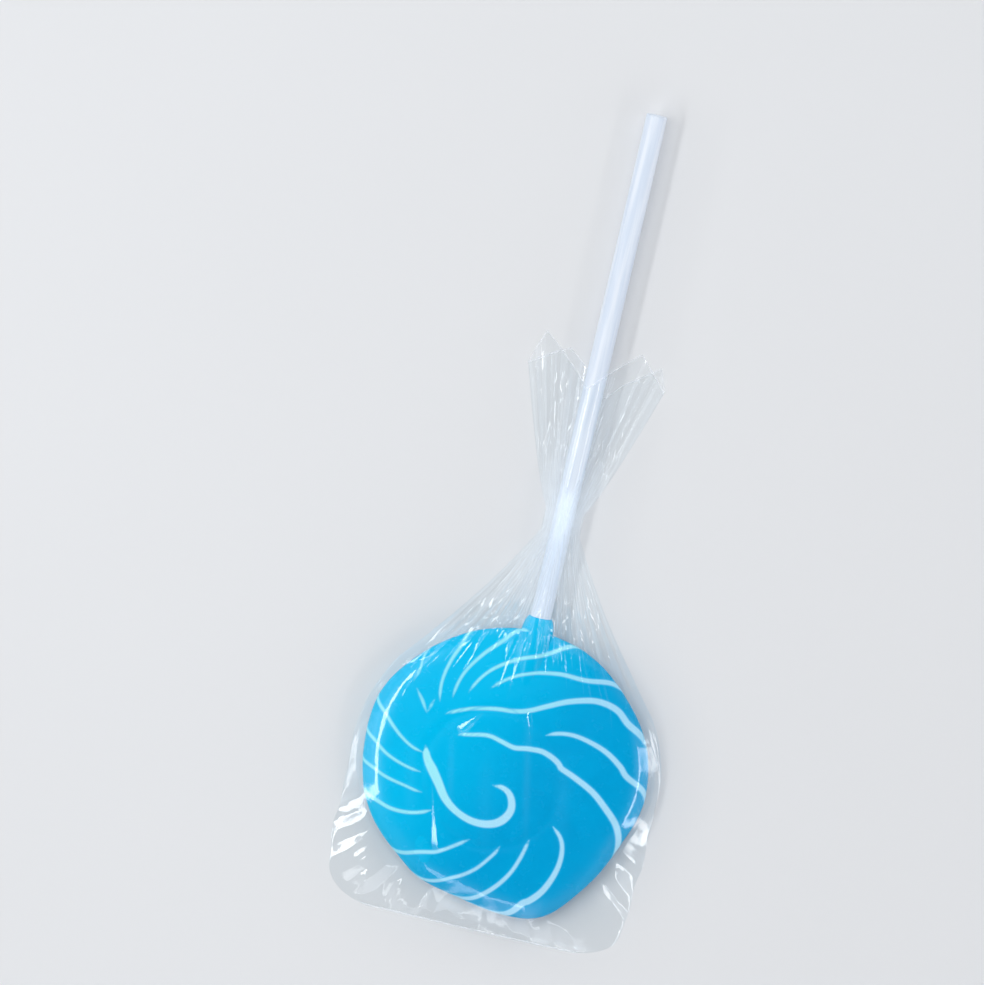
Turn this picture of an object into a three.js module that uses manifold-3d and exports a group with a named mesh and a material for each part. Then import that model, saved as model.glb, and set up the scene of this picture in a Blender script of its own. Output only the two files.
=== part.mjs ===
// A swirl lollipop in its clear film wrapper, lying on its back.
//
// A flat disc of hard candy is wound from one rope: an inner coil, and an outer coil laid round it.
// Thin stripes cross the outer coil from the seam between the two, run over the rim and back to the
// seam on the other face. A plain stick ends at the middle of the disc. The film covers the disc,
// is gathered to a neck round the stick, and fans out past the neck as a pleated skirt.
//
// Millimetres. +Z is up, +Y runs along the stick, away from the disc. The origin is the middle of
// the flat spot that the wrapped disc rests on.
import * as THREE from "three";
import { mergeVertices } from "three/addons/utils/BufferGeometryUtils.js";
import Module from "manifold-3d";

const wasm = await Module();
wasm.setup();

// Driving dimensions.
const DISC_RADIUS = 24;
const DISC_THICKNESS = 6;
const STICK_DIAMETER = 3.5;
const STICK_LENGTH = 114;
const STICK_DEPTH = 25; // how far the stick reaches into the disc
const FILM_NECK = 45; // distance from the disc's middle to the neck
const FILM_SKIRT = 29; // length of the fan past the neck
const FILM_WALL = 0.35;
const GAP = 0.3; // between pieces that touch

// The disc.
const SHARPNESS = 4; // how flat the faces stay before they turn down at the rim
const EDGE_POWER = 0.45;
const INNER_COIL = { x: -2.1, y: -1.6, radius: 11.8 };
const SEAM_DEPTH = 0.28;
const SEAM_WIDTH = 1.1;
const RIM_BUMPS = [
  { at: -65, rise: 1.9, spread: 15 }, // the outer end of the rope
  { at: -100, rise: -0.8, spread: 14 },
  { at: -130, rise: -0.7, spread: 14 },
  { at: -22, rise: -0.8, spread: 14 },
  { at: 160, rise: 0.7, spread: 16 },
  { at: 45, rise: -0.4, spread: 14 },
];
const COLLAR = { radius: 2.9, start: 14, end: 26.4, endRadius: 2.45 };

// The stripes: where each one crosses the rim, how far it turns between the rim and the seam on the
// top face, and its half width. Angles are in degrees about the inner coil, anticlockwise from +X.
const STRIPES = [
  { rim: 3, sweep: 48, half: 0.5 },
  { rim: 24, sweep: 76, half: 0.6 },
  { rim: 47, sweep: 66, half: 0.5 },
  { rim: 69, sweep: 56, half: 0.45 },
  { rim: 90, sweep: 46, half: 0.45 },
  { rim: 110, sweep: 36, half: 0.45 },
  { rim: 127, sweep: 28, half: 0.4 },
  { rim: 142, sweep: 21, half: 0.4 },
  { rim: 157, sweep: 16, half: 0.38 },
  { rim: 171, sweep: 17, half: 0.38 },
  { rim: 184.5, sweep: 21, half: 0.4 },
  { rim: 198, sweep: 24.5, half: 0.5 },
  { rim: 226, sweep: 36, half: 0.45 },
  { rim: 248, sweep: 42, half: 0.42 },
  { rim: 269, sweep: 47, half: 0.5 },
  { rim: 293, sweep: 45, half: 0.6 },
  { rim: 341, sweep: 42, half: 0.55 },
];
const BACK_SWEEP = 40; // the same for every stripe on the back
const STRIPE_BEND = 1.15; // above 1 a stripe turns most near the seam
const STRIPE_RISE = 0.2;
const STRAND_RISE = 0.08; // of the candy between two stripes
// The two stripes of the inner coil, as angle and distance from its middle.
const ARMS = [
  { half: 0.75, through: [[302, 1.3], [335, 3.6], [312, 6.8], [270, 8.2], [220, 8.6], [183, 10]] },
  { half: 0.6, through: [[141, 9.3], [104, 7.2], [75, 6.4], [50, 8.3], [39, 9.8]] },
];
const ARM_STEPS = 12;

const FACE_RINGS = 7; // rings of the outer coil from the rim to the seam
const STRAND_COLUMNS = 2; // columns of the outer coil between two stripes
const STRIPE_COLUMNS = 4 + STRAND_COLUMNS;
const COLUMNS = STRIPES.length * STRIPE_COLUMNS;

const WRAP_CLEARANCE = STRIPE_RISE + GAP;
const HALF_THICKNESS = DISC_THICKNESS / 2;
const MID_HEIGHT = HALF_THICKNESS + WRAP_CLEARANCE + FILM_WALL; // of the stick's axis and the disc's middle
const STICK_RADIUS = STICK_DIAMETER / 2;
const STICK_START = DISC_RADIUS - STICK_DEPTH;
const STICK_HOLE = STICK_RADIUS + GAP;

const radians = THREE.MathUtils.degToRad;
const { clamp, lerp, smoothstep } = THREE.MathUtils;
const Z_AXIS = new THREE.Vector3(0, 0, 1);

// A closed geometry as a solid, after each of its points has been moved by place.
function shaped(geometry, place = (p) => p) {
  const bare = geometry.clone();
  bare.deleteAttribute("normal");
  bare.deleteAttribute("uv");
  const position = bare.attributes.position;
  for (let i = 0; i < position.count; i += 1) {
    const moved = place(new THREE.Vector3().fromBufferAttribute(position, i));
    position.setXYZ(i, moved.x, moved.y, moved.z);
  }
  const merged = mergeVertices(bare, 1e-4);
  const made = new wasm.Mesh({
    numProp: 3,
    vertProperties: merged.attributes.position.array,
    triVerts: new Uint32Array(merged.index.array),
  });
  return new wasm.Manifold(made);
}

function meshOf(solid, name, material) {
  const { vertProperties, triVerts } = solid.getMesh();
  const geometry = new THREE.BufferGeometry();
  geometry.setAttribute("position", new THREE.BufferAttribute(vertProperties, 3));
  geometry.setIndex(new THREE.BufferAttribute(triVerts, 1));
  geometry.computeVertexNormals();
  const mesh = new THREE.Mesh(geometry, material);
  mesh.name = name;
  return mesh;
}

// A triangle wave between -1 and 1, with a period of 1.
function zigzag(t) {
  return 4 * Math.abs(t - Math.floor(t + 0.5)) - 1;
}

// ---- the candy disc ----

// Distance from the disc's own middle to the rim.
function rimRadius(angle) {
  let radius = DISC_RADIUS;
  for (const bump of RIM_BUMPS) {
    const away = Math.abs(THREE.MathUtils.euclideanModulo(angle - radians(bump.at) + Math.PI, 2 * Math.PI) - Math.PI);
    radius += bump.rise * Math.exp(-((away / radians(bump.spread)) ** 2));
  }
  return radius;
}

// Distance from the inner coil's middle to the rim, along angle.
function reach(angle) {
  const along = INNER_COIL.x * Math.cos(angle) + INNER_COIL.y * Math.sin(angle);
  const offset = Math.hypot(INNER_COIL.x, INNER_COIL.y);
  const circle = (r) => -along + Math.sqrt(along ** 2 - offset ** 2 + r ** 2);
  const guess = circle(DISC_RADIUS);
  const x = INNER_COIL.x + guess * Math.cos(angle);
  const y = INNER_COIL.y + guess * Math.sin(angle);
  return circle(rimRadius(Math.atan2(y, x)));
}

// Half the thickness without seam or stripes, where fraction is 0 in the middle and 1 at the rim.
function dome(fraction, half) {
  return half * (1 - Math.min(fraction, 1) ** SHARPNESS) ** EDGE_POWER;
}

// A point of the disc's surface on the face of the given sign, lift outside the plain form.
function discPoint(angle, radius, face, lift) {
  const rim = reach(angle);
  const fraction = Math.min(radius / rim, 1);
  const outwards = fraction ** 6;
  const drawn = radius + lift * outwards;
  const height = dome(fraction, HALF_THICKNESS) + lift * Math.sqrt(1 - outwards ** 2);
  return new THREE.Vector3(
    INNER_COIL.x + drawn * Math.cos(angle),
    INNER_COIL.y + drawn * Math.sin(angle),
    face * height,
  );
}

// The angle and the lift of one column of the outer coil, at a depth of 0 at the rim to 1 at the
// seam. The first four columns of each stripe are its own, and the rest are of the strand after it.
function columnAt(column, depth, face, radius) {
  const index = Math.floor(column / STRIPE_COLUMNS);
  const slot = column % STRIPE_COLUMNS;
  const stripe = STRIPES[index];
  const next = STRIPES[(index + 1) % STRIPES.length];
  const turned = ({ rim, sweep }) => rim + (face > 0 ? sweep : -BACK_SWEEP) * depth ** STRIPE_BEND;
  const middle = turned(stripe);
  if (slot > 3) {
    const wrap = index + 1 === STRIPES.length ? 360 : 0;
    const share = (slot - 3) / (STRAND_COLUMNS + 1);
    const angle = radians(lerp(middle, turned(next) + wrap, share));
    return { angle, lift: STRAND_RISE };
  }
  const side = [-1, -0.5, 0.5, 1][slot];
  const slant = Math.hypot(1, (radians(stripe.sweep) * radius) / 12); // a slanted line is cut wider
  const taper = clamp((1.08 - depth) / 0.2, 0.3, 1);
  const angle = radians(middle) + (side * stripe.half * slant * taper) / radius;
  return { angle, lift: Math.abs(side) < 1 ? STRIPE_RISE * taper : 0 };
}

// The rings of the disc, counted from the rim. The last two are the seam and the foot of the
// inner coil, which is flat inside them.
function ringPoint(ring, column, face) {
  const depth = Math.min(ring / FACE_RINGS, 1);
  const across = Math.cos((depth * Math.PI) / 2) ** 0.9;
  const rough = lerp(INNER_COIL.radius, DISC_RADIUS, across);
  const { angle, lift } = columnAt(column, depth, face, rough);
  if (ring > FACE_RINGS) return discPoint(angle, INNER_COIL.radius - SEAM_WIDTH, face, 0);
  const radius = lerp(INNER_COIL.radius, reach(angle), across);
  const dip = SEAM_DEPTH * Math.exp((INNER_COIL.radius - radius) / SEAM_WIDTH);
  return discPoint(angle, radius, face, lift - dip);
}

// The outline of a stripe of the inner coil, as a loop up one side and down the other.
function armOutline({ half, through }, face, share, lift) {
  const points = through.map(([degrees, radius]) => {
    const angle = radians(face > 0 ? degrees : 180 - degrees);
    return new THREE.Vector3(radius * Math.cos(angle), radius * Math.sin(angle), 0);
  });
  const curve = new THREE.CatmullRomCurve3(points);
  const sides = [1, -1].map((side) => {
    return Array.from({ length: ARM_STEPS + 1 }, (_, i) => {
      const t = lerp((1 - share) * 0.02, 1 - (1 - share) * 0.02, i / ARM_STEPS);
      const width = half * share * (0.3 + 0.7 * Math.min(1, 5 * t, 5 * (1 - t)));
      const across = curve.getTangent(t).applyAxisAngle(Z_AXIS, Math.PI / 2);
      return curve.getPoint(t).addScaledVector(across, -side * width);
    });
  });
  const loop = [...sides[0], ...sides[1].reverse()];
  return loop.map(({ x, y }) => discPoint(Math.atan2(y, x), Math.hypot(x, y), face, lift));
}

// The whole disc with its seams and stripes, as one closed surface.
function stripedDisc() {
  const points = [];
  const triangles = [];
  const put = (point) => points.push(point) - 1;
  const quad = (a, b, c, d) => triangles.push(a, b, c, a, c, d);
  const top = [];
  for (let row = FACE_RINGS + 1; row >= -FACE_RINGS - 1; row -= 1) {
    const face = Math.sign(row) || 1;
    top.push(Array.from({ length: COLUMNS }, (_, i) => put(ringPoint(Math.abs(row), i, face))));
  }
  for (let row = 1; row < top.length; row += 1) {
    for (let i = 0; i < COLUMNS; i += 1) {
      const j = (i + 1) % COLUMNS;
      quad(top[row - 1][i], top[row][i], top[row][j], top[row - 1][j]);
    }
  }
  for (const face of [1, -1]) {
    const rim = face > 0 ? top[0] : top[top.length - 1];
    const feet = ARMS.map((stripe) => armOutline(stripe, face, 1, 0).map(put));
    const heads = ARMS.map((stripe) => armOutline(stripe, face, 0.5, STRIPE_RISE).map(put));
    const all = [...rim, ...feet.flat()];
    const flat = (ids) => ids.map((id) => new THREE.Vector2(points[id].x, points[id].y));
    for (const corners of THREE.ShapeUtils.triangulateShape(flat(rim), feet.map(flat))) {
      const [a, b, c] = corners.map((corner) => all[corner]);
      const turn = new THREE.Triangle(points[a], points[b], points[c]).getNormal(new THREE.Vector3());
      triangles.push(...(turn.z * face > 0 ? [a, b, c] : [a, c, b]));
    }
    feet.forEach((foot, k) => {
      const head = heads[k];
      const length = foot.length;
      for (let i = 0; i < length; i += 1) {
        const j = (i + 1) % length;
        if (face > 0) quad(foot[i], foot[j], head[j], head[i]);
        else quad(foot[j], foot[i], head[i], head[j]);
      }
      for (let i = 0; i < ARM_STEPS; i += 1) {
        const loop = [head[i], head[i + 1], head[length - 2 - i], head[length - 1 - i]];
        quad(...(face > 0 ? loop : loop.reverse()));
      }
    });
  }
  const surface = new THREE.BufferGeometry().setFromPoints(points);
  surface.setIndex(triangles);
  return shaped(surface);
}

// The disc without its stripes, grown all round.
function plainDisc(grow) {
  const rings = 7;
  return shaped(new THREE.SphereGeometry(1, 40, 2 * rings).rotateX(Math.PI / 2), (p) => {
    const ring = Math.round((Math.acos(clamp(p.z, -1, 1)) / Math.PI) * 2 * rings);
    const angle = ring % (2 * rings) ? Math.atan2(p.y, p.x) : 0;
    const fraction = Math.sin((Math.PI * ring) / (2 * rings)) ** 0.8;
    const x = INNER_COIL.x * (1 - fraction);
    const y = INNER_COIL.y * (1 - fraction);
    const radius = fraction * (rimRadius(angle) + grow);
    const height = ring === rings ? 0 : dome(fraction, HALF_THICKNESS + grow);
    return new THREE.Vector3(
      x + radius * Math.cos(angle),
      y + radius * Math.sin(angle),
      (ring < rings ? 1 : -1) * height,
    );
  });
}

// The candy drawn out along the stick where it enters the disc.
function collar(grow = 0) {
  const profile = [
    new THREE.Vector2(0, COLLAR.start),
    new THREE.Vector2(COLLAR.radius + grow, COLLAR.start),
    new THREE.Vector2(COLLAR.radius + grow, DISC_RADIUS - 0.6),
    new THREE.Vector2(COLLAR.endRadius + grow, COLLAR.end + grow),
    new THREE.Vector2(0, COLLAR.end + grow),
  ];
  return shaped(new THREE.LatheGeometry(profile, 20));
}

function candy() {
  const bore = new THREE.CylinderGeometry(STICK_HOLE, STICK_HOLE, 60, 20);
  bore.translate(0, STICK_START - GAP + 30, 0);
  return stripedDisc().add(collar()).subtract(shaped(bore));
}

// ---- the stick ----

function stick() {
  const chamfer = 0.2;
  const profile = [
    new THREE.Vector2(0, 0),
    new THREE.Vector2(STICK_RADIUS - chamfer, 0),
    new THREE.Vector2(STICK_RADIUS, chamfer),
    new THREE.Vector2(STICK_RADIUS, STICK_LENGTH - chamfer),
    new THREE.Vector2(STICK_RADIUS - chamfer, STICK_LENGTH),
    new THREE.Vector2(0, STICK_LENGTH),
  ];
  const rod = new THREE.LatheGeometry(profile, 20);
  rod.translate(0, STICK_START, 0);
  return shaped(rod);
}

// ---- the film ----

const POUCH = { end: -28, half: 26.2, corner: 28.8, squareness: 8 };
const NECK = { half: 3.3, height: 2.75, apex: FILM_NECK + 2.5 };
const SKIRT = { half: 13.5, ruffle: 2.6, folds: 2.5, thickness: 0.4 };
const SLACK = 1.6; // how far the sides hang in between the disc and the neck
const FILM_MARGIN = WRAP_CLEARANCE + FILM_WALL;
const STICK_SLEEVE = STICK_HOLE + 0.5;

function filmHalfWidth(y) {
  if (y > FILM_NECK) {
    const out = (y - FILM_NECK) / FILM_SKIRT;
    return lerp(NECK.half, SKIRT.half, out ** 0.85);
  }
  if (y < 0) {
    return POUCH.half * (1 - (-y / POUCH.corner) ** POUCH.squareness) ** (1 / 3);
  }
  const leave = POUCH.half ** 2 / NECK.apex; // where the straight side leaves the round disc
  if (y < leave) return Math.sqrt(POUCH.half ** 2 - y ** 2);
  const leaveHalf = POUCH.half * Math.sqrt(1 - (POUCH.half / NECK.apex) ** 2);
  const down = (y - leave) / (NECK.apex - leave);
  return Math.max(NECK.half, leaveHalf * (1 - down) - SLACK * Math.sin(Math.PI * down));
}

// Half the height of the loose film, without the disc in it.
function filmHalfHeight(across, y) {
  const full = lerp(HALF_THICKNESS + 0.3, NECK.height, smoothstep(y, 24, FILM_NECK));
  const shut = smoothstep(y, POUCH.end - 3, POUCH.end + 15);
  return full * shut * (1 - across ** 2) ** 0.75;
}

// Half the height of the film over the disc, at a point of the plan.
function overDisc(x, y) {
  const rim = rimRadius(Math.atan2(y, x)) + FILM_MARGIN + 0.35;
  return dome(Math.hypot(x, y) / rim, HALF_THICKNESS + FILM_MARGIN);
}

// The top and the underside of the film at a point of the plan, as heights from the stick's axis.
function filmLayer(across, y, top) {
  const half = filmHalfWidth(y);
  const x = across * half;
  const sleeve = y > DISC_RADIUS ? Math.sqrt(Math.max(STICK_SLEEVE ** 2 - x ** 2, 0)) : 0;
  const fan = smoothstep(y, FILM_NECK - 1, FILM_NECK + 8);
  const gather = smoothstep(y, 15, FILM_NECK) * (1 - fan);
  const pleat = 0.55 * gather * (1 - across ** 2) * zigzag(2.5 * across + (top ? 0.1 : 0.35));
  const closed = Math.max(filmHalfHeight(across, y) + pleat, overDisc(x, y), 0.25);
  const height = Math.max(lerp(closed, SKIRT.thickness, fan), sleeve);
  const clear = smoothstep(Math.abs(x), STICK_SLEEVE, STICK_SLEEVE + 3);
  const spread = Math.max((y - FILM_NECK) / FILM_SKIRT, 0) ** 1.2;
  const ruffle = fan ? SKIRT.ruffle * fan * spread * clear * zigzag(SKIRT.folds * across + 0.2) : 0;
  const underside = -height - (top ? 0 : 0.15);
  return ruffle + (top ? height : Math.max(underside, -MID_HEIGHT - ruffle));
}

function film() {
  const sheet = new THREE.BoxGeometry(2, 2, 2, 36, 30, 1);
  const outside = shaped(sheet, (p) => {
    const across = Math.sin((p.x * Math.PI) / 2);
    const y = lerp(POUCH.end, FILM_NECK + FILM_SKIRT, (p.y + 1) / 2);
    return new THREE.Vector3(across * filmHalfWidth(y), y, filmLayer(across, y, p.z > 0));
  });
  const bore = new THREE.CylinderGeometry(STICK_HOLE, STICK_HOLE, 80, 20);
  bore.translate(0, DISC_RADIUS + 40, 0);
  return outside.subtract(plainDisc(WRAP_CLEARANCE)).subtract(collar(GAP)).subtract(shaped(bore));
}

// ---- the whole lollipop ----

const candyBlue = new THREE.MeshStandardMaterial({ color: 0x02a0dc, roughness: 0.18, metalness: 0 });
const stickWhite = new THREE.MeshStandardMaterial({ color: 0xe4ecf6, roughness: 0.5, metalness: 0 });
const clearFilm = new THREE.MeshStandardMaterial({
  color: 0xdfeaf2,
  roughness: 0.08,
  metalness: 0,
  transparent: true,
  opacity: 0.25,
  side: THREE.DoubleSide,
});

const lollipop = new THREE.Group();
lollipop.add(meshOf(candy(), "candy_disc", candyBlue));
lollipop.add(meshOf(stick(), "stick", stickWhite));
lollipop.add(meshOf(film(), "film_wrapper", clearFilm));
for (const piece of lollipop.children) piece.position.z = MID_HEIGHT;

export default lollipop;
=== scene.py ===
import math

import bpy
import numpy as np
from mathutils import Matrix, Vector


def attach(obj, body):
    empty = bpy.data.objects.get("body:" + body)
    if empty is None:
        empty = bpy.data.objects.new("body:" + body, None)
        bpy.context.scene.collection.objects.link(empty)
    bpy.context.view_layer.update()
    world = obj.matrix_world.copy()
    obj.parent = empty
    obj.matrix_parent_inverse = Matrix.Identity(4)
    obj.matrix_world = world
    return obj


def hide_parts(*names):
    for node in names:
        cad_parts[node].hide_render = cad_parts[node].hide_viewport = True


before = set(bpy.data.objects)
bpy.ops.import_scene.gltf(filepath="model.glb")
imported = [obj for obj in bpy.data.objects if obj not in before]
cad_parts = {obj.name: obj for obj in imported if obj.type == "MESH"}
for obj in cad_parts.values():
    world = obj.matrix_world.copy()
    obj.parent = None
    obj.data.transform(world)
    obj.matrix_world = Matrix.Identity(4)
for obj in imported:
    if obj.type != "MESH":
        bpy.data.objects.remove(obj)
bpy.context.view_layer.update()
print("frame loaded, pieces:", sorted(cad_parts))

# Lengths here are millimetres until a mesh is made. z is measured from the disc's middle.
metresPerMm = 0.001
middleHeight = 3.85


# 0 below low, 1 above high, and 3 t^2 - 2 t^3 between them.
def smooth(value, low, high):
    t = np.clip((value - low) / (high - low), 0, 1)
    return t * t * (3 - 2 * t)


# The place a share t of the way from a to b.
def mixed(a, b, t):
    return a + (b - a) * t


# A mesh from a grid of points, rows by columns. The columns go all the way round. A pole is one
# point that closes an end row, and a shut first row is joined across to its own mirror. The values
# are kept at its points, where the materials read them.
def gridPiece(name, points, material, slot, node, poles=(None, None), values=None,
              shutStart=False, flat=False):
    rows, columns = points.shape[:2]
    index = np.arange(rows * columns).reshape(rows, columns)
    after = np.roll(index, -1, axis=1)
    faces = np.stack([index[:-1], after[:-1], after[1:], index[1:]], axis=-1).reshape(-1, 4).tolist()
    places = points.reshape(-1, 3)
    for pole, row, flip in ((poles[0], index[0], True), (poles[1], index[-1], False)):
        if pole is None:
            continue
        hub = np.full(columns, len(places))
        fan = [hub, np.roll(row, -1), row] if flip else [hub, row, np.roll(row, -1)]
        faces += np.stack(fan, axis=-1).tolist()
        places = np.vstack([places, pole])
    if shutStart:
        half = columns // 2
        near = index[0, : half]
        far = index[0, (columns - np.arange(half)) % columns]
        strip = np.stack([near[:-1], far[:-1], far[1:], near[1:]], axis=-1)
        faces += strip[1:].tolist() + [[near[0], far[1], near[1]]]
    mesh = bpy.data.meshes.new(name)
    mesh.from_pydata(((places + [0, 0, middleHeight]) * metresPerMm).tolist(), [], faces)
    for key, value in (values or {}).items():
        full = np.zeros(len(places), np.float32)
        full[: value.size] = value.reshape(-1)
        mesh.attributes.new(key, "FLOAT", "POINT").data.foreach_set("value", full)
    mesh.materials.append(material)
    mesh.polygons.foreach_set("use_smooth", np.full(len(faces), not flat))
    piece = bpy.data.objects.new(name, mesh)
    piece.visible_shadow = slot != "film"
    bpy.context.scene.collection.objects.link(piece)
    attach(piece, "root")
    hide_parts(node)
    print(name, len(faces), "faces")


# A profile of distance along y and radius, turned about the y axis.
def turned(along, radius, columns):
    angle = np.arange(columns) / columns * 2 * np.pi
    along, radius = np.asarray(along, float)[:, None], np.asarray(radius, float)[:, None]
    x = radius * np.cos(angle)
    z = radius * np.sin(angle)
    return np.stack([x, np.broadcast_to(along, x.shape), z], axis=-1)


# One output of a node. Arithmetic on it adds Math nodes.
class Wire:
    def __init__(self, paint, socket):
        self.paint = paint
        self.socket = socket

    def maths(self, operation, *values):
        return self.paint.add("ShaderNodeMath", {"operation": operation}, values)

    def __add__(self, other):
        return self.maths("ADD", self, other)

    __radd__ = __add__

    def __mul__(self, other):
        return self.maths("MULTIPLY", self, other)

    __rmul__ = __mul__

    def __pow__(self, other):
        return self.maths("POWER", self, other)

    # 0 to 1 as the value goes from low to high, with soft ends
    def ramp(self, low, high):
        settings = {"interpolation_type": "SMOOTHSTEP"}
        return self.paint.add("ShaderNodeMapRange", settings, {0: self, 1: low, 2: high})


# The nodes of one material, or of the room's world.
class Paint:
    def __init__(self, holder, coordinates="Object"):
        self.holder = holder
        holder.use_nodes = True
        self.tree = holder.node_tree
        self.tree.nodes.clear()
        self.place = self.add("ShaderNodeTexCoord", output=coordinates)

    # the only place that makes nodes: settings are set first, then values or links
    def add(self, kind, settings=None, values=(), output=0):
        node = self.tree.nodes.new(kind)
        for key, value in (settings or {}).items():
            setattr(node, key, value)
        pairs = values.items() if isinstance(values, dict) else enumerate(values)
        for key, value in pairs:
            if isinstance(value, Wire):
                self.tree.links.new(value.socket, node.inputs[key])
            else:
                node.inputs[key].default_value = value
        return Wire(self, node.outputs[output]) if node.outputs else None

    def noise(self, scale, detail=2.0, stretch=(1, 1, 1)):
        place = self.add("ShaderNodeMapping", None, {"Vector": self.place, "Scale": stretch})
        return self.add("ShaderNodeTexNoise", None, {"Vector": place, "Scale": scale, "Detail": detail})

    def value(self, name):
        return self.add("ShaderNodeAttribute", {"attribute_name": name}, output="Fac")

    def blend(self, factor, first, second):
        return self.add("ShaderNodeMix", {"data_type": "RGBA"}, {0: factor, 6: first, 7: second}, output=2)

    def bump(self, height, depth):
        return self.add("ShaderNodeBump", None, {"Distance": depth * metresPerMm, "Height": height})

    def finish(self, surface, kind="ShaderNodeOutputMaterial"):
        self.add(kind, None, {"Surface": surface})
        return self.holder


# Screen colour, 0 to 255, as linear light: value / 12.92 near black, else a power of 2.4.
def rgb(red, green, blue):
    screen = np.array([red, green, blue]) / 255
    linear = np.where(screen <= 0.04045, screen / 12.92, ((screen + 0.055) / 1.055) ** 2.4)
    return (*linear.tolist(), 1.0)


candyLook = {
    # the blue painted paler on the side where light is painted as falling
    "paintedLitBlue": rgb(0, 196, 242),
    "blue": rgb(0, 171, 223),
    "deep": rgb(0, 163, 216),
    # painted light: which way the blue is painted paler, as if lit from there, in metres from the
    # middle, and how far that edge wanders
    "paintedLightTowards": (-0.9, 0.4, 0.0),
    "paintedLightSpan": (-0.005, 0.017),
    "paintedLightWander": 0.006,
    "paintedLightNoise": 60.0,
    "cloudNoise": 110.0,
    "cloudSpan": (0.38, 0.72),
    "cloudShare": 0.5,
    "pulledShare": 0.6,
    "stripe": rgb(180, 231, 254),
    # the stripes' colour painted paler on that same lit side
    "stripePaintedLit": rgb(166, 246, 254),
    # depth inside a stripe, in mm, over which its colour comes in
    "stripeSpan": (-0.12, 0.22),
    "halo": rgb(52, 194, 240),
    "haloSpan": (-0.3, 0.1),
    "haloShare": 0.7,
    "roughness": 0.2,
    "roughnessMore": 0.12,
    "smudgeNoise": 500.0,
    "ior": 1.45,
    "specular": 0.35,
    "rippleNoise": 240.0,
    "grainNoise": 1400.0,
    "grainShare": 0.12,
    "bumpDepth": 0.12,
}


def candyMaterial():
    paint = Paint(bpy.data.materials.new("hardCandy"))
    towards = paint.add("ShaderNodeVectorMath", {"operation": "DOT_PRODUCT"},
                        [paint.place, candyLook["paintedLightTowards"]], "Value")
    # painted light: paler towards one side, as though more light falls on it there
    paintedLightEdge = towards + candyLook["paintedLightWander"] * paint.noise(candyLook["paintedLightNoise"])
    side = paintedLightEdge.ramp(*candyLook["paintedLightSpan"])
    clouds = paint.noise(candyLook["cloudNoise"], 3.0).ramp(*candyLook["cloudSpan"])
    depth = candyLook["cloudShare"] * clouds + candyLook["pulledShare"] * paint.value("pulled")
    body = paint.blend(side, paint.blend(depth, candyLook["blue"], candyLook["deep"]), candyLook["paintedLitBlue"])
    stripe = paint.value("stripe")
    white = paint.value("white")
    halo = stripe.ramp(*candyLook["haloSpan"]) * candyLook["haloShare"] * white
    # the stripes are painted paler on the same lit side too
    light = paint.blend(side, candyLook["stripe"], candyLook["stripePaintedLit"])
    inside = stripe.ramp(*candyLook["stripeSpan"]) * white
    smudges = paint.noise(candyLook["smudgeNoise"])
    grain = candyLook["grainShare"] * paint.noise(candyLook["grainNoise"], 1.0)
    surfaceHeight = paint.noise(candyLook["rippleNoise"]) + grain
    surface = paint.add("ShaderNodeBsdfPrincipled", None, {
        "Base Color": paint.blend(inside, paint.blend(halo, body, candyLook["halo"]), light),
        "Roughness": candyLook["roughness"] + candyLook["roughnessMore"] * smudges,
        "IOR": candyLook["ior"],
        "Specular IOR Level": candyLook["specular"],
        "Normal": paint.bump(surfaceHeight, candyLook["bumpDepth"]),
    })
    return paint.finish(surface)


stickLook = {
    "white": rgb(233, 240, 249),
    "shade": rgb(216, 227, 241),
    "fibreNoise": 900.0,
    "fibreStretch": (1, 0.05, 1),
    "fibreSpan": (0.35, 0.65),
    "fibreDepth": 0.03,
    "roughness": 0.42,
    "roughnessMore": 0.12,
}


def stickMaterial():
    paint = Paint(bpy.data.materials.new("whiteStick"))
    fibres = paint.noise(stickLook["fibreNoise"], 3.0, stickLook["fibreStretch"])
    shaded = fibres.ramp(*stickLook["fibreSpan"])
    surface = paint.add("ShaderNodeBsdfPrincipled", None, {
        "Base Color": paint.blend(shaded, stickLook["white"], stickLook["shade"]),
        "Roughness": stickLook["roughness"] + stickLook["roughnessMore"] * fibres,
        "Normal": paint.bump(fibres, stickLook["fibreDepth"]),
    })
    return paint.finish(surface)


filmLook = {
    "clear": rgb(252, 254, 255),
    "roughness": 0.085,
    "shineStraight": 0.065,
    "shineSlanted": 0.85,
    "slantPower": 5.0,
    # white of milky creases and neck, also used for a painted highlight and painted reflection
    "milkyAndPaintedShine": rgb(242, 247, 252),
    "milkyRoughness": 0.25,
}


# Clear where it is seen straight on, glossy where it is seen at a slant, milky along sharp creases
# and at the neck. The milky white is also a painted highlight along cut edges and a painted
# reflection in streaks over the face. The share of gloss is shineStraight + shineSlanted * slant^5.
def filmMaterial():
    paint = Paint(bpy.data.materials.new("clearFilm"))
    slant = paint.add("ShaderNodeLayerWeight", None, {"Blend": 0.5}, output="Facing")
    shine = filmLook["shineStraight"] + filmLook["shineSlanted"] * slant ** filmLook["slantPower"]
    clear = paint.add("ShaderNodeBsdfTransparent", None, {"Color": filmLook["clear"]})
    gloss = paint.add("ShaderNodeBsdfAnisotropic", None,
                      {"Color": (1, 1, 1, 1), "Roughness": filmLook["roughness"]})
    sheet = paint.add("ShaderNodeMixShader", None, [shine, clear, gloss])
    milkAndShine = paint.add("ShaderNodeBsdfPrincipled", None,
                     {"Base Color": filmLook["milkyAndPaintedShine"], "Roughness": filmLook["milkyRoughness"]})
    return paint.finish(paint.add("ShaderNodeMixShader", None, [paint.value("milkAndPaintedShine"), sheet, milkAndShine]))


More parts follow.
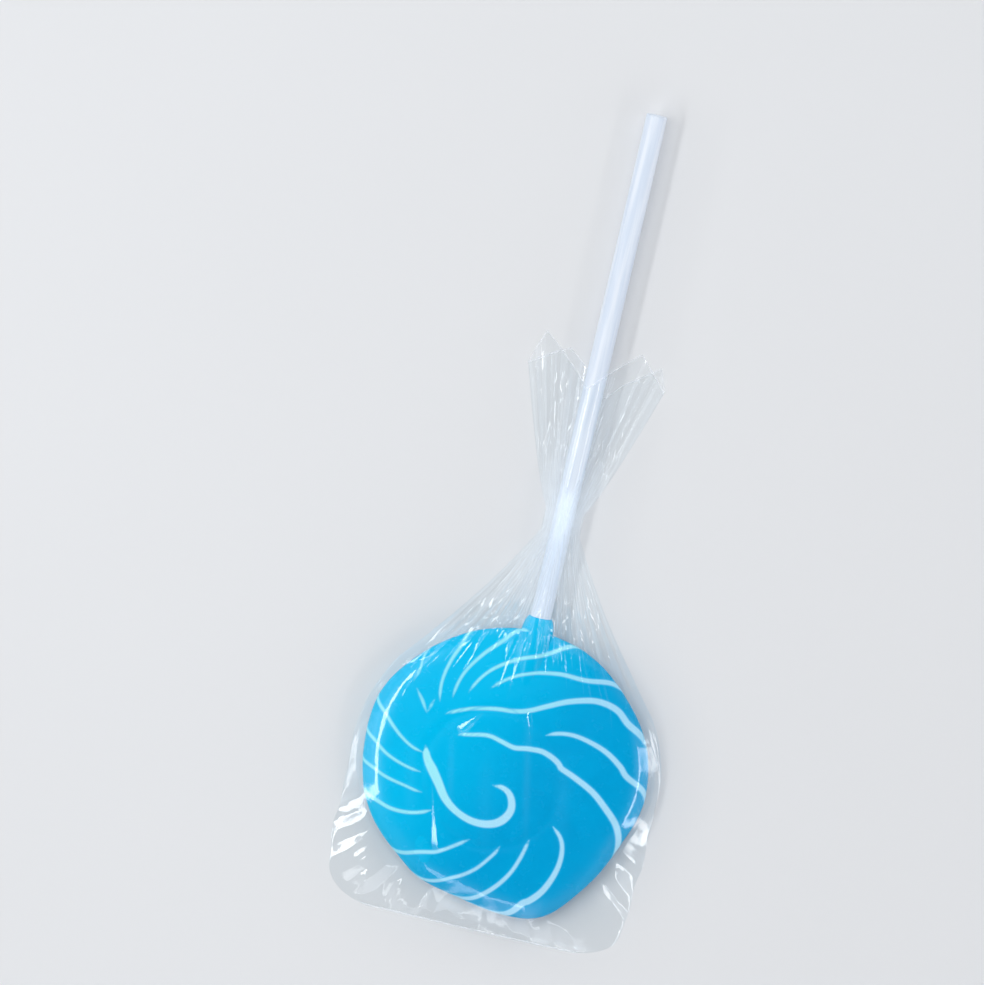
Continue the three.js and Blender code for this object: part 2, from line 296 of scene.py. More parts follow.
floorLook = {
    "grey": rgb(224, 225, 226),
    "paler": rgb(228, 229, 230),
    # half its width, in metres
    "half": 3.0,
    "cloudNoise": 9.0,
    "roughness": 0.6,
    "specular": 0.2,
}


def floorMaterial():
    paint = Paint(bpy.data.materials.new("paleFloor"))
    clouds = paint.noise(floorLook["cloudNoise"])
    surface = paint.add("ShaderNodeBsdfPrincipled", None, {
        "Base Color": paint.blend(clouds, floorLook["grey"], floorLook["paler"]),
        "Roughness": floorLook["roughness"],
        "Specular IOR Level": floorLook["specular"],
    })
    return paint.finish(surface)


candy = {
    "radius": 24.0,
    "half": 3.0,
    "flatness": 4.0,
    "edgePower": 0.45,
    # the inner coil: its middle, its radius and its share of the rings
    "coil": (-2.1, -1.6),
    "coilRadius": 11.8,
    "coilShare": 0.42,
    "acrossPower": 0.9,
    "seamDepth": 0.15,
    "seamWidth": 0.8,
    "innerRings": 30,
    "outerRings": 51,
    "columns": 600,
    # how sharply a rise turns from upwards to outwards near the rim
    "riseTurn": 6,
    "stripeRise": 0.05,
    "stripeFoot": (-0.25, 0.2),
    # points along a stripe, and how far from them the surface is measured, in parts of this many
    "stripePoints": 420,
    "nearStripe": 1.5,
    "batch": 8000,
    # the depth and whiteness where there is no stripe
    "outside": -9.0,
    "white": 0.8,
    # a stripe starts this blunt, and is at its full width this far from its ends
    "blunt": 0.15,
    "taper": 1.6,
    # on the back, every stripe turns this many degrees from the rim to the seam
    "backTurn": 40.0,
    "backBend": 1.15,
    "backPoints": 9,
    # and ends this share short of it
    "backShort": 0.02,
    # faint bands: how many round the disc and how strong, and how far they turn and fade
    "bands": [(26, 0.6), (61, 0.4)],
    "bandTurn": 1.1,
    "bandBend": 1.5,
    "bandFade": (0.1, 0.3),
    "seed": 4,
    # angle, rise and spread of each bump of the rim
    "bumps": [(-65, 1.9, 15), (-100, -0.8, 14), (-130, -0.7, 14), (-22, -0.8, 14), (160, 0.7, 16),
              (45, -0.4, 14)],
    # Each stripe is how white it is, its half widths from end to end, and the points it runs
    # through, as angle and distance from the middle of the inner coil. One that reaches the rim
    # goes on over it.
    "stripes": [
        (0.80, [0.3, 0.42, 0.4],
         [(264, 11.0), (255, 13.0), (247, 15.5), (238, 18.0), (228, 21), (223, 30)]),
        (0.84, [0.28, 0.4, 0.4],
         [(291, 11.6), (281, 13.8), (273, 15.8), (266, 17.4), (259, 19.0), (249, 21), (243, 30)]),
        (0.90, [0.3, 0.46, 0.46],
         [(315, 12.2), (307, 13.6), (298, 15.6), (288, 17.9), (279, 19.9), (270, 21.3), (264, 30)]),
        (0.95, [0.3, 0.6, 0.62, 0.5],
         [(335, 13.2), (332, 15.5), (327, 17.2), (319, 19.0), (309, 20.8), (300, 21.9), (295, 22.4),
          (284, 23.2), (274, 30)]),
        (0.95, [0.3, 0.42, 0.5, 0.56, 0.6, 0.55, 0.5],
         [(141, 9.3), (125, 8.0), (104, 7.2), (85, 6.5), (65, 6.6), (50, 8.3), (40, 9.9), (26, 11.6),
          (20, 12.2), (12, 14.6), (5, 17.3), (358, 19.9), (352, 22.4), (346, 24.0), (340, 30)]),
        (0.92, [0.3, 0.5, 0.55, 0.5],
         [(51, 11.8), (47, 13.6), (41, 15.6), (33, 17.8), (26, 19.8), (18, 21.8), (12, 23.4), (4, 30)]),
        (0.88, [0.3, 0.4, 0.5, 0.62, 0.6, 0.5],
         [(138, 13.3), (127, 12.6), (112, 12.0), (97, 11.8), (83, 12.1), (73, 13.3), (65, 15.5), (59, 17.9),
          (54, 20.0), (48, 22.4), (41, 24.1), (33, 25.0), (24, 30)]),
        (0.80, [0.25, 0.38, 0.38],
         [(172, 12.0), (171, 14.1), (168, 16.4), (164, 18.9), (161, 21.0), (157, 30)]),
        (0.78, [0.25, 0.37, 0.38], [(188, 11.7), (184, 15.0), (180, 17.8), (175, 20.5), (171, 30)]),
        (0.78, [0.25, 0.37, 0.38], [(205, 11.7), (198, 14.5), (193, 17.3), (188, 20.0), (184, 30)]),
        (0.84, [0.3, 0.42, 0.42],
         [(222, 11.2), (219, 13.3), (215, 15.5), (210, 17.7), (204, 19.8), (198, 30)]),
        (1.00, [0.5, 0.85, 0.72, 0.58, 0.62, 0.72, 0.6, 0.3],
         [(166, 12.2), (174, 11.3), (186, 9.7), (200, 8.7), (220, 8.3), (241, 8.0), (261, 7.9), (279, 7.8),
          (295, 7.5), (312, 6.6), (324, 5.4), (335, 3.6), (331, 2.1), (302, 1.2)]),
        (0.70, [0.2, 0.3, 0.25], [(142, 19.6), (144, 17.3), (147, 15.3)]),
        (0.60, [0.2, 0.26, 0.2], [(137, 16.4), (142, 15.8), (147, 15.3)]),
        (0.85, [0.25, 0.46, 0.5], [(103, 15.2), (88, 18.0), (70, 21.0), (57, 23.5), (47, 30)]),
        (0.85, [0.25, 0.44, 0.45], [(117, 15.0), (104, 18.0), (88, 21.0), (77, 23.5), (69, 30)]),
        (0.80, [0.25, 0.42, 0.42], [(128, 15.0), (118, 18.0), (106, 21.0), (97, 23.5), (90, 30)]),
        (0.80, [0.25, 0.4, 0.4], [(136, 15.5), (130, 18.0), (121, 21.0), (115, 23.0), (110, 30)]),
        (0.75, [0.2, 0.36, 0.36], [(141, 20.8), (135, 22.0), (128, 30)]),
    ],
}


# The rim's distance from the disc's middle: a circle with soft bumps.
def rimRadius(angle):
    radius = np.full(np.shape(angle), candy["radius"])
    for at, rise, spread in candy["bumps"]:
        away = np.abs((angle - np.radians(at) + np.pi) % (2 * np.pi) - np.pi)
        radius = radius + rise * np.exp(-((away / np.radians(spread)) ** 2))
    return radius


# The rim's distance from the middle of the inner coil, where a ray along angle meets the circle.
def reach(angle):
    coilX, coilY = candy["coil"]
    along = coilX * np.cos(angle) + coilY * np.sin(angle)

    def circle(radius):
        return -along + np.sqrt(along**2 - coilX**2 - coilY**2 + radius**2)

    guess = circle(candy["radius"])
    return circle(rimRadius(np.arctan2(coilY + guess * np.sin(angle), coilX + guess * np.cos(angle))))


# Half the thickness at a fraction of the way to the rim: half * (1 - fraction^flatness)^edgePower.
def dome(fraction, half):
    return half * (1 - np.minimum(fraction, 1) ** candy["flatness"]) ** candy["edgePower"]


# share runs from 0 in the middle of the top face, through 1 at the rim, to 2 behind. The radius
# grows evenly over the inner coil, and past it as sin(across * 90 degrees)^acrossPower.
def discRadius(angle, share):
    ring = np.where(share > 1, 2 - share, share)
    inner = candy["coilRadius"] * ring / candy["coilShare"]
    across = np.clip((ring - candy["coilShare"]) / (1 - candy["coilShare"]), 0, 1)
    outer = mixed(candy["coilRadius"], reach(angle), np.sin(across * np.pi / 2) ** candy["acrossPower"])
    return np.where(ring < candy["coilShare"], inner, outer)


# The other way round: the share at a radius.
def shareAt(angle, radius):
    outer = np.clip((radius - candy["coilRadius"]) / (reach(angle) - candy["coilRadius"]), 0, 1)
    across = np.arcsin(outer ** (1 / candy["acrossPower"])) * 2 / np.pi
    inner = radius / candy["coilRadius"] * candy["coilShare"]
    return np.where(radius < candy["coilRadius"], inner, mixed(candy["coilShare"], 1.0, across))


# The points of the disc at angles and shares, with their heights from the dome. A lift goes upwards
# in the middle and turns outwards at the rim.
def discPoints(angle, share, lift=0.0):
    radius = discRadius(angle, share)
    fraction = radius / reach(angle)
    outwards = fraction ** candy["riseTurn"]
    height = dome(fraction, candy["half"]) + lift * np.sqrt(1 - outwards**2)
    drawn = radius + lift * outwards
    x = candy["coil"][0] + drawn * np.cos(angle)
    y = candy["coil"][1] + drawn * np.sin(angle)
    return np.stack([x, y, np.where(share > 1, -height, height)], axis=-1)


# A smooth line through a few points, as a Catmull-Rom spline.
def lineThrough(points, count):
    points = np.array(points, float)
    padded = np.vstack([2 * points[0] - points[1], points, 2 * points[-1] - points[-2]])
    t = np.linspace(0, len(points) - 1.0001, count)
    i = t.astype(int)
    f = (t - i)[:, None]
    a, b, c, d = (padded[i + k] for k in range(4))
    return 0.5 * (2 * b + (c - a) * f + (2 * a - 5 * b + 4 * c - d) * f**2 + (3 * b - a - 3 * c + d) * f**3)


# The stripes of both faces, each as strength, half widths and a line of angles and shares. One that
# reaches the rim goes on over it to the seam behind, and the others are copied to the back.
def stripeLines():
    lines = []
    for strength, widths, through in candy["stripes"]:
        turns = np.unwrap(np.radians([angle for angle, _ in through]))
        shares = shareAt(turns, np.array([float(radius) for _, radius in through]))
        front = np.stack([turns, shares], axis=-1)
        if shares[-1] > 0.999:
            over = np.linspace(0, 1, candy["backPoints"])[1:]
            turn = turns[-1] - np.radians(candy["backTurn"]) * over ** candy["backBend"]
            behind = 1 + over * (1 - candy["coilShare"] - candy["backShort"])
            front = np.vstack([front, np.stack([turn, behind], axis=-1)])
        else:
            lines.append((strength, widths, np.stack([np.pi - turns, 2 - shares], axis=-1)))
        lines.append((strength, widths, front))
    return lines


# How deep each point of the surface is inside a stripe, its half width less the distance to it,
# and how white that stripe is.
def stripeField(points):
    flat = points.reshape(-1, 3).astype(np.float32)
    depth = np.full(len(flat), candy["outside"], np.float32)
    white = np.full(len(flat), candy["white"], np.float32)
    margin = candy["nearStripe"]
    for strength, widths, line in stripeLines():
        angle, share = lineThrough(line, candy["stripePoints"]).T
        middle = discPoints(angle, np.clip(share, 0.0, 2.0)).astype(np.float32)
        run = np.concatenate([[0], np.cumsum(np.linalg.norm(np.diff(middle, axis=0), axis=1))])
        taper = np.clip(candy["blunt"] + np.minimum(run, run[-1] - run) / candy["taper"], 0, 1)
        wide = np.interp(run / run[-1], np.linspace(0, 1, len(widths)), widths)
        width = (taper * wide).astype(np.float32)
        near = np.nonzero(((flat > middle.min(0) - margin) & (flat < middle.max(0) + margin)).all(1))[0]
        # in parts, so the table of distances stays small
        for part in np.array_split(near, max(1, len(near) // candy["batch"])):
            inside = (width - np.linalg.norm(flat[part, None] - middle[None], axis=2)).max(1)
            nearer = inside > depth[part]
            depth[part[nearer]] = inside[nearer]
            white[part[nearer]] = strength
    return depth.reshape(points.shape[:2]), white.reshape(points.shape[:2])


# Faint bands that run with the stripes: a random curve over the angle, which turns back as the
# share grows.
def pulledBands(angle, share):
    draw = np.random.default_rng(candy["seed"])
    total = np.zeros_like(angle)
    for count, weight in candy["bands"]:
        heights = draw.uniform(0, 1, count)
        turn = (angle + candy["bandTurn"] * share ** candy["bandBend"]) / (2 * np.pi) * count
        step = np.floor(turn).astype(int)
        near, far = heights[step % count], heights[(step + 1) % count]
        total += weight * mixed(near, far, smooth(turn - step, 0, 1))
    return total * smooth(share, *candy["bandFade"])


# Rings of points over both faces, raised a little at the stripes and sunk at the seam, where the
# depth is seamDepth * exp(-(distance / seamWidth)^2).
def buildCandy(material):
    angle = np.arange(candy["columns"]) / candy["columns"] * 2 * np.pi
    inner = np.linspace(0, candy["coilShare"], candy["innerRings"] + 1)[1:]
    outer = np.linspace(candy["coilShare"], 1, candy["outerRings"] + 1)[1:]
    top = np.concatenate([inner, outer])
    angle, share = np.meshgrid(angle, np.concatenate([top, (2 - top[:-1])[::-1]]))
    depth, white = stripeField(discPoints(angle, share))
    away = (discRadius(angle, share) - candy["coilRadius"]) / candy["seamWidth"]
    seam = -candy["seamDepth"] * np.exp(-(away**2))
    points = discPoints(angle, share, seam + candy["stripeRise"] * smooth(depth, *candy["stripeFoot"]))
    x, y = candy["coil"]
    poles = ([x, y, candy["half"]], [x, y, -candy["half"]])
    # rows run outwards from the middle of the top face, so the columns go round clockwise
    pulled = pulledBands(angle, share)
    values = {"stripe": depth[:, ::-1], "white": white[:, ::-1], "pulled": pulled[:, ::-1]}
    gridPiece("candy_disc_swirl", points[:, ::-1], material, "candy", "candy_disc", poles, values)


hardCandy = candyMaterial()
buildCandy(hardCandy)

# The candy swells round the stick where it goes in: distances along y and radii of the profile.
collar = {
    "along": [12, 16, 20, 23.4, 25.0, 25.9, 26.4, 26.5],
    "radius": [2.5, 2.8, 2.92, 2.78, 2.55, 2.28, 1.95, 1.7],
    "rows": 120,
    "columns": 120,
    "pulled": 0.5,
}


# The profile turned about the stick's line, and closed at both ends.
def buildCollar(material):
    along, radius = lineThrough(list(zip(collar["along"], collar["radius"])), collar["rows"]).T
    points = turned(along, radius, collar["columns"])[:, ::-1]
    poles = ([0, along[0], 0], [0, along[-1], 0])
    # the disc's stripes carry on over it, straight above where they would be on the disc
    x, y = points[..., 0], points[..., 1]
    z = np.sign(points[..., 2]) * dome(np.hypot(x, y) / rimRadius(np.arctan2(y, x)), candy["half"])
    depth, white = stripeField(np.stack([x, y, z], axis=-1))
    values = {"stripe": depth, "white": white, "pulled": np.full(depth.shape, collar["pulled"])}
    gridPiece("candy_disc_collar", points, material, "candy", "candy_disc", poles, values)


buildCollar(hardCandy)

stick = {
    "radius": 1.75,
    "start": -1.0,
    "length": 114.0,
    "chamfer": 0.12,
    "cornerRings": 6,
    "faceRings": 5,
    # radius of the first ring round the middle of each end
    "firstRing": 0.3,
    "bodyRings": 118,
    "columns": 64,
}


# The profile is a flat end, a quarter round, the straight body, and the same again backwards.
def buildStick(material):
    start, end = stick["start"], stick["start"] + stick["length"]
    chamfer, faceRings = stick["chamfer"], stick["faceRings"]
    corner = np.linspace(0, np.pi / 2, stick["cornerRings"])
    inset = stick["radius"] - chamfer
    rise = chamfer * (1 - np.cos(corner))
    edge = inset + chamfer * np.sin(corner)
    face = np.linspace(stick["firstRing"], inset, faceRings + 1)[:-1]
    body = np.linspace(start + chamfer, end - chamfer, stick["bodyRings"] + 2)[1:-1]
    first, last = np.full(faceRings, start), np.full(faceRings, end)
    along = np.concatenate([first, start + rise, body, end - rise[::-1], last])
    radius = np.concatenate([face, edge, np.full(len(body), stick["radius"]), edge[::-1], face[::-1]])
    points = turned(along, radius, stick["columns"])[:, ::-1]
    gridPiece("stick_rod", points, material, "stick", "stick", ([0, start, 0], [0, end, 0]))


buildStick(stickMaterial())


# The film's outline and grid, and what its pouch and its skirt share.
film = {
    # its straight end and its neck along y, and half its width
    "end": -28.0,
    "neck": 45.0,
    "half": 26.2,
    # the squared end: half * (1 - |y / corner|^squareness)^squarePower
    "corner": 28.8,
    "squareness": 11,
    "squarePower": 0.28,
    "neckHalf": 3.3,
    "neckHeight": 2.7,
    # the pouch's sides point this far past the neck, and hang in by the slack
    "apexPast": 2.5,
    "slack": 1.6,
    "fanHalf": 13.5,
    "fanLength": 29.0,
    "fanPower": 0.85,
    # heights fall off to its sides as (1 - across^2) to one of these
    "roundPower": 0.75,
    "edgePower": 0.35,
    "topColumns": 460,
    "underColumns": 180,
    "rows": 150,
    "pleats": 44,
    "pleatsUnder": 41,
    # ranges of the widths and heights of random folds, as shares of even ones
    "foldWidths": (0.35, 1.65),
    "foldHeights": (0.3, 1.0),
    # the random heights repeat after this many cells, and the skew makes the triangles even
    "latticeSize": 64,
    "latticeSkew": 0.366025,
    "seed": 11,
    # how milky it is at the neck and at creases, and at most
    "milkNeck": 0.10,
    "milkNeckWidth": 3.5,
    "milkTurning": (0.4, 1.4),
    "milkCreases": 0.3,
    "milkMost": 0.9,
    # painted reflection: faint milky streaks over the face that stand in for reflected light, given as
    # middle, half width, half length and strength
    "paintedReflectionStreaks": [(-8.9, -1.6, 0.5, 6.2, 0.012), (3.6, 1.0, 0.6, 10.0, 0.012), (-15.0, -5.0, 1.0, 6.0, 0.008),
                (10.5, -3.0, 1.3, 8.0, 0.005), (-2.0, -6.0, 1.2, 7.0, 0.005)],
    "paintedStreakLean": 0.2,
}


# Random heights on a lattice of triangles, straight between its corners: flat facets that meet at
# creases.
def facets(x, y, cell, seed):
    size = film["latticeSize"]
    table = np.random.default_rng(seed).uniform(-1, 1, (size, size))
    skew = (x + y) / cell * film["latticeSkew"]
    a, b = x / cell + skew, y / cell + skew
    i, j = np.floor(a).astype(int), np.floor(b).astype(int)
    a, b = a - i, b - j
    first, last = table[i % size, j % size], table[(i + 1) % size, (j + 1) % size]
    right, up = table[(i + 1) % size, j % size], table[i % size, (j + 1) % size]
    low = (1 - a) * first + (a - b) * right + b * last
    high = (1 - b) * first + (b - a) * up + a * last
    return np.where(a > b, low, high)


# Random folds across the film: straight slopes between knots that zigzag by turns.
def folds(across, count, seed):
    draw = np.random.default_rng(seed)
    knots = np.cumsum(draw.uniform(*film["foldWidths"], count))
    knots = 2 * (knots - knots[0]) / (knots[-1] - knots[0]) - 1
    heights = draw.uniform(*film["foldHeights"], count) * np.where(np.arange(count) % 2, 1, -1)
    return np.interp(across, knots, heights)


# Half the width of the film at y: a squared end, a circle round the disc, straight sides that hang
# in a little towards the neck, and a fan after it.
def filmHalf(y):
    half, apex = film["half"], film["neck"] + film["apexPast"]
    squared = 1 - np.abs(np.minimum(y, 0) / film["corner"]) ** film["squareness"]
    square = half * np.maximum(squared, 0) ** film["squarePower"]
    # where a straight line from the apex touches the circle
    leave = half**2 / apex
    circle = np.sqrt(np.maximum(half**2 - y**2, 0))
    down = np.clip((y - leave) / (apex - leave), 0, 1)
    side = half * math.sqrt(1 - (half / apex) ** 2) * (1 - down) - film["slack"] * np.sin(np.pi * down)
    out = np.clip((y - film["neck"]) / film["fanLength"], 0, 1)
    fan = mixed(film["neckHalf"], film["fanHalf"], out ** film["fanPower"])
    upper = np.where(y < leave, circle, np.maximum(side, film["neckHalf"]))
    return np.where(y > film["neck"], fan, np.where(y < 0, square, upper))


# The grid's columns go round the film, closer together on top than underneath: across is the
# cosine of the turn.
def filmGrid(y):
    top, under = film["topColumns"], film["underColumns"]
    turn = np.concatenate([np.arange(top) / top, 1 + np.arange(under) / under]) * np.pi
    turn, y = np.meshgrid(turn, y)
    return y, np.cos(turn), turn < np.pi


# Pleats keep the sheet's own width: the less room there is, the deeper they fold.
def pleatDepth(y):
    return film["half"] / film["pleats"] * np.sqrt(np.maximum(1 - (filmHalf(y) / film["half"]) ** 2, 0))


def pleats(across, top):
    over, under = film["pleats"], film["pleatsUnder"]
    return np.where(top, folds(across, over, film["seed"] + 21), folds(across, under, film["seed"] + 22))


# How sharply the surface turns at each point, from the change between neighbouring normals.
def turning(points):
    down = np.gradient(points, axis=0)
    normal = np.cross(np.roll(points, -1, axis=1) - np.roll(points, 1, axis=1), down)
    normal /= np.linalg.norm(normal, axis=-1, keepdims=True) + 1e-9
    bend = np.linalg.norm(np.gradient(normal, axis=0), axis=-1)
    return bend + np.linalg.norm(np.roll(normal, -1, axis=1) - np.roll(normal, 1, axis=1), axis=-1) / 2


# Milky share of the film: sharp creases and the gathered neck, with a painted highlight along cut
# edges and painted reflection streaks over the face.
def filmValues(points, paintedEdgeHighlight):
    x, y, z = points[..., 0], points[..., 1], points[..., 2]
    neck = film["milkNeck"] * np.exp(-(((y - film["neck"]) / film["milkNeckWidth"]) ** 2))
    creases = smooth(turning(points), *film["milkTurning"]) * film["milkCreases"]
    value = np.maximum(creases, paintedEdgeHighlight) + neck
    # painted reflection: faint lighter streaks on the top sheet over the face
    for middleX, middleY, wide, tall, strength in film["paintedReflectionStreaks"]:
        across = x - middleX + film["paintedStreakLean"] * (y - middleY)
        fade = np.exp(-((across / wide) ** 2) - np.abs((y - middleY) / tall) ** 3)
        value = value + strength * fade * (z > 0)
    return {"milkAndPaintedShine": np.clip(value, 0, film["milkMost"])}


pouch = {
    # it is built in three parts that meet at these places along y
    "joins": [0.0, 22.0],
    # its height over the candy as drawn, and at least; half its thickness beside the candy at
    # least; and its height over the floor at least
    "gap": 0.12,
    "leastGap": 0.08,
    "leastHalf": 0.02,
    "floorGap": 0.03,
    # rays round the disc that find the film's outline, and places where the film may leave the dome
    "rays": 721,
    "outlineSpan": (20, 60),
    "outlineStep": 0.02,
    "touches": (0.4, 0.998, 120),
    "leastReach": 0.3,
    # the round body beyond the disc, between the disc's height and the neck's
    "bodyExtra": 0.2,
    "bodySpan": (-12, 12),
    "shrinkStart": 20,
    "endTaper": 1.5,
    # where the film lies round the collar and the stick: distances along y and radii
    "coreAlong": [12, 20, 25.5, 27, 28],
    "coreRadius": [2.6, 3.05, 2.6, 2.0, 2.0],
    # sizes of the crumpling facets and their depths, and how strong they are over the disc
    "crumples": [(6.5, 0.7), (3.1, 0.32), (1.5, 0.07)],
    "crumpledOver": 0.05,
    "crumpledRim": 0.12,
    "rimSpan": (0.7, 0.9),
    # where they reach their full depth: past the rim, where the film hangs over far enough, and
    # away from the neck
    "roundSpan": (0.97, 1.25),
    "overhangSpan": (0.5, 6),
    "calmNeck": 8,
    # the facets' own lattices: round the disc and outwards, or across the film and along it
    "roundScale": 26,
    "roundStart": 90,
    "outwardsScale": 0.42,
    "acrossScale": 22,
    "alongScale": 0.3,
    "alongStart": 40,
    "outerSpan": (0.9, 1.1),
    "upperSpan": (8, 20),
    "upperShare": 0.15,
    # larger facets bend each lattice by this share of its own cells
    "bend": 0.35,
    "bendCell": 2.7,
    # small folds that point away from the disc
    "spokes": 90,
    "spokeDepth": 0.3,
    "spokeStart": (0.98, 1.15),
    "spokeUpper": (5, 20),
    "spokeOverhang": (2.5, 6),
    # pleats that run up to the neck, with fainter ones across them that aim past it
    "leastTight": 0.03,
    "tightSpan": (17, 31),
    "tightAside": 0.15,
    "tightStart": (0, 4),
    "crossings": 33,
    "crossingDepth": 0.12,
    "crossingAim": 62,
    "crossingSpread": 0.43,
    # long thin ridges from the neck: where each ends, its half width and the slope of its sides
    "runs": 26,
    "runSpread": 0.9,
    "runJitter": (0.1, 0.9),
    "runEnds": (7, 17),
    "runWidths": (0.5, 1.2),
    "runSlopes": (0.22, 0.34),
    "runWiden": 18,
    "runFade": (22, 31),
    # ridges pinched up over the face: both ends, both half widths and the slope of the sides
    "ridges": [(-12.4, -0.9, -7.9, -15.2, 0.1, 1.3, 0.255), (-5.5, 9.3, -8.7, 5.2, 0.12, 1.15, 0.42),
               (4.3, 2.2, 1.8, 10.7, 0.2, 0.6, 0.32)],
    "ridgeEnds": (2, 0.5),
    # the straight end lifts and dips in large facets
    "endSpan": (22, 28),
    "endCell": 9.0,
    "endDepth": 0.5,
    # the sides wander: share of the width, where that starts, and size, rate and phase of each wave
    "wobble": 0.015,
    "wobbleSpan": (24, 30),
    "wobbleUpTo": 20,
    "waves": [(0.6, 0.37, 2), (0.4, 0.83, 1)],
    # a painted highlight along the cut end, and the width it fades over
    "cutEdgePaintedHighlight": 0.35,
    "edgeHighlightWidth": 0.3,
}


# The film drawn over the disc: the disc's own dome out to where a straight line to the film's
# outline touches it, and then that line. Also how far out each point is, as a fraction of the way
# to the rim, and how far the film's outline is past the rim there.
def overDisc(x, y):
    step, (nearest, furthest) = pouch["outlineStep"], pouch["outlineSpan"]
    at = np.linspace(-np.pi, np.pi, pouch["rays"])
    out = np.arange(nearest + step / 2, furthest, step)[:, None]
    inside = (np.abs(out * np.cos(at)) < filmHalf(out * np.sin(at))) & (out * np.sin(at) > film["end"])
    outline = nearest + step * (inside & (out * np.sin(at) < film["neck"])).sum(0)
    share = np.linspace(*pouch["touches"])[:, None]
    run = np.maximum(outline - share * rimRadius(at), pouch["leastReach"])
    slopes = (dome(share, candy["half"]) + pouch["gap"]) / run
    angle, radius = np.arctan2(y, x), np.hypot(x, y)
    slope = np.interp(angle, at, slopes.max(0))
    touch = np.interp(angle, at, share[slopes.argmax(0), 0])
    fraction = radius / rimRadius(angle)
    line = slope * np.maximum(np.interp(angle, at, outline) - radius, 0)
    domed = dome(fraction, candy["half"]) + pouch["gap"]
    overhang = np.interp(angle, at, outline) - rimRadius(angle)
    return np.where(fraction < touch, domed, line), fraction, overhang


# A ridge along a line: straight sides up to its top, with one half width at its start and another
# at its end.
def ridge(x, y, startX, startY, endX, endY, startWidth, endWidth, slope):
    alongX, alongY = endX - startX, endY - startY
    length = math.hypot(alongX, alongY)
    run = ((x - startX) * alongX + (y - startY) * alongY) / length
    off = np.abs((x - startX) * alongY - (y - startY) * alongX) / length
    before, after = pouch["ridgeEnds"]
    width = mixed(startWidth, endWidth, np.clip(run / length, 0, 1)) * smooth(run, -before, 0)
    width = width * (1 - smooth(run, length, length + after))
    return slope * np.maximum(width - off, 0)


# Crumpling in three sizes of facets, long in the direction the film is pulled: away from the disc
# round the pouch, and along the pleats on the disc and above it.
def crumple(x, y, across, top, fraction):
    seed = film["seed"]
    outer, upper = smooth(fraction, *pouch["outerSpan"]), smooth(y, *pouch["upperSpan"])
    around = pouch["roundScale"] * np.arctan2(y, x) + pouch["roundStart"]
    outwards = (around, pouch["outwardsScale"] * np.hypot(x, y), outer * (1 - upper))
    along = pouch["alongScale"] * y + pouch["alongStart"]
    upwards = (pouch["acrossScale"] * across, along, mixed(1.0, pouch["upperShare"] * upper, outer))
    total = np.zeros_like(x)
    for k, (cell, depth) in enumerate(pouch["crumples"]):
        for u, v, share in (outwards, upwards):
            bends = facets(x, y, pouch["bendCell"] * cell, seed + 40 + k)
            bent = u + pouch["bend"] * cell * bends * np.where(top, 1, -1)
            over, under = facets(bent, v, cell, seed + k), facets(bent, v, cell, seed + 9 + k)
            total += depth * share * np.where(top, over, under)
    return total


# The strength of the crumpling: faint over the disc, full where the film hangs free round it, and
# fading to none at the neck.
def crumpling(y, fraction, overhang):
    over = pouch["crumpledOver"] + pouch["crumpledRim"] * smooth(fraction, *pouch["rimSpan"])
    free = smooth(fraction, *pouch["roundSpan"]) * smooth(overhang, *pouch["overhangSpan"])
    return mixed(over, 1.0, free) * smooth(film["neck"] - y, 0, pouch["calmNeck"])


# Folds over the angle, where the film hangs free round the disc.
def spokes(x, y, fraction, overhang):
    folded = folds(np.arctan2(y, x) / np.pi, pouch["spokes"], film["seed"] + 12)
    outer = pouch["spokeDepth"] * folded * smooth(fraction, *pouch["spokeStart"])
    return outer * (1 - smooth(y, *pouch["spokeUpper"])) * smooth(overhang, *pouch["spokeOverhang"])


# Pleats between the disc and the neck, which tighten as y grows, sooner at the sides.
def gathers(x, y, across, top):
    tight = smooth(y + pouch["tightAside"] * np.abs(x), *pouch["tightSpan"])
    tight = mixed(pouch["leastTight"], 1.0, tight) * smooth(y, *pouch["tightStart"])
    aimed = x / (pouch["crossingSpread"] * (pouch["crossingAim"] - y))
    crossing = folds(aimed, pouch["crossings"], film["seed"] + 23) * pouch["crossingDepth"]
    return pleatDepth(y) * tight * (pleats(across, top) + crossing)


# Long thin ridges that run down from the neck over the disc, each to a point of its own. Their
# sides keep one slope, so each narrows as it fades.
def runs(across, y):
    draw = np.random.default_rng(film["seed"] + 5)
    total = np.zeros_like(across)
    spread, count = pouch["runSpread"], pouch["runs"]
    for number in range(count):
        lean = -spread + 2 * spread * (number + draw.uniform(*pouch["runJitter"])) / count
        low, wide, slope = (draw.uniform(*pouch[key]) for key in ("runEnds", "runWidths", "runSlopes"))
        width = wide * np.clip((y - low) / pouch["runWiden"], 0, 1)
        total += slope * np.maximum(width - np.abs(across - lean) * filmHalf(y), 0)
    return total * (1 - smooth(y, *pouch["runFade"]))


